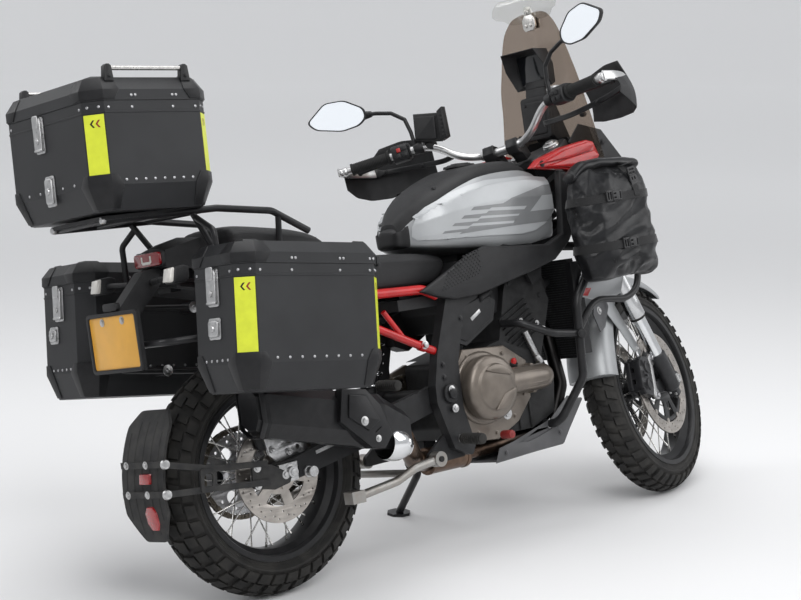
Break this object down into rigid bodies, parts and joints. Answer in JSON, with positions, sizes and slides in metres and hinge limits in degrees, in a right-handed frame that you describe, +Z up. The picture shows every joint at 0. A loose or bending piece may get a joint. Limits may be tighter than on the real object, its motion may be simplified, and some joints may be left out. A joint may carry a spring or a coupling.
{
  "type": "adventure motorcycle with aluminium luggage cases",
  "caption": "Touring motorcycle leaning on its side stand, steering turned left, with lidded top and side cases, crash bar bags, racks and a folded centre stand.",
  "frame": {"origin": "centre of the bounding box's footprint, on the floor", "axes": "+X forward, +Y to the rider's left, +Z up; the motorcycle leans to its left about X"},
  "size_m": [2.3285, 1.0596, 1.536],
  "materials": {
    "bag_cloth": "coated cloth",
    "bare_aluminium": "satin",
    "bare_steel": "brushed",
    "black_aluminium": "fine satin powder coat",
    "black_metal": "satin",
    "black_plastic": "textured",
    "bronze_cover": "satin metallic",
    "brown_steel": "heat tinted",
    "cast_black": "satin",
    "grey_plastic": "textured",
    "lamp_lens": "clear",
    "mirror_shell": "satin",
    "red_lens": "gloss",
    "red_paint": "gloss",
    "seat_cover": "grained",
    "silver_paint": "gloss metallic",
    "smoke_screen": "clear, smoke tint",
    "tyre_rubber": "matt",
    "yellow_sheet": "matt"
  },
  "bodies": {
    "chassis": {"swingarm": "black_metal", "rear_axle": "bare_aluminium", "drive_chain": "bare_steel", "rear_caliper": "black_metal", "rear_shock": "black_metal", "main_frame": "black_metal", "rear_subframe": "red_paint", "engine": "cast_black", "airbox": "black_plastic", "engine_covers": "bronze_cover", "radiator": "black_metal", "exhaust_pipes": "brown_steel", "silencer": "black_metal", "exhaust_elbow": "bare_steel", "skid_plate": "grey_plastic", "fuel_tank": "silver_paint", "tank_cover": "black_plastic", "side_fairings": "black_plastic", "shroud_wings": "red_paint", "seat": "seat_cover", "tail_light": "red_lens", "tail_cowl": "black_plastic", "luggage_rack": "black_metal", "case_racks": "black_metal", "plate_holder": "black_plastic", "number_plate": "yellow_sheet", "rear_mudguard": "grey_plastic", "footrests": "black_metal", "crash_bars": "black_metal", "crash_bar_bags": "bag_cloth", "nose_fairing": "black_plastic", "headlight": "lamp_lens", "dash": "black_plastic", "windscreen": "smoke_screen", "top_case": "black_aluminium", "right_case": "black_aluminium", "left_case": "black_aluminium", "case_latches": "bare_aluminium", "stand_bracket": "black_metal"},
    "steering": {"fork": "bare_aluminium", "front_mudguard": "silver_paint", "front_calipers": "black_metal", "handlebar": "bare_aluminium", "controls": "black_plastic", "hand_guards": "black_plastic", "mirrors": "mirror_shell"},
    "front_wheel": {"front_tyre": "tyre_rubber", "front_wheel": "black_metal", "front_brake_discs": "bare_steel"},
    "rear_wheel": {"rear_tyre": "tyre_rubber", "rear_wheel": "black_metal", "rear_brake_disc": "bare_steel", "rear_sprocket": "bare_steel"},
    "side_stand": {"side_stand": "black_metal"},
    "centre_stand": {"centre_stand": "bare_steel"},
    "top_lid": {"top_lid": "black_aluminium", "lid_grab_bars": "bare_steel"},
    "right_lid": {"right_lid": "black_aluminium"},
    "left_lid": {"left_lid": "black_aluminium"}
  },
  "joints": [
    {"name": "steering_turn", "type": "hinge", "parent": "chassis", "child": "steering", "pos_m": [0.49711, 0.02678, 0.92725], "axis": [-0.4345, 0.1942, 0.8795], "range_deg": [-58, 18]},
    {"name": "front_wheel_spin", "type": "hinge", "parent": "steering", "child": "front_wheel", "pos_m": [0.84851, -0.09254, 0.312], "axis": [-0.3081, 0.8856, -0.3477], "continuous": true},
    {"name": "rear_wheel_spin", "type": "hinge", "parent": "chassis", "child": "rear_wheel", "pos_m": [-0.65395, -0.10833, 0.31526], "axis": [0, 0.9765, -0.2156], "continuous": true},
    {"name": "side_stand_fold", "type": "hinge", "parent": "chassis", "child": "side_stand", "pos_m": [0.01772, 0.0233, 0.20641], "axis": [-0.321, 0.9431, -0.0868], "range_deg": [0, 100]},
    {"name": "centre_stand_drop", "type": "hinge", "parent": "chassis", "child": "centre_stand", "pos_m": [-0.17017, -0.11935, 0.26536], "axis": [0, -0.9765, 0.2156], "range_deg": [0, 88], "stiffness_Nm_per_rad": 6, "springref_deg": -68.75},
    {"name": "top_lid_open", "type": "hinge", "parent": "chassis", "child": "top_lid", "pos_m": [-0.77234, 0.09931, 1.25577], "axis": [0, 0.9765, -0.2156], "range_deg": [0, 90]},
    {"name": "right_lid_open", "type": "hinge", "parent": "chassis", "child": "right_lid", "pos_m": [-0.52184, -0.3649, 0.87866], "axis": [0, 0.9765, -0.2156], "range_deg": [0, 90]},
    {"name": "left_lid_open", "type": "hinge", "parent": "chassis", "child": "left_lid", "pos_m": [-0.52176, 0.33521, 0.74252], "axis": [0, 0.9765, -0.2156], "range_deg": [0, 90]}
  ]
}
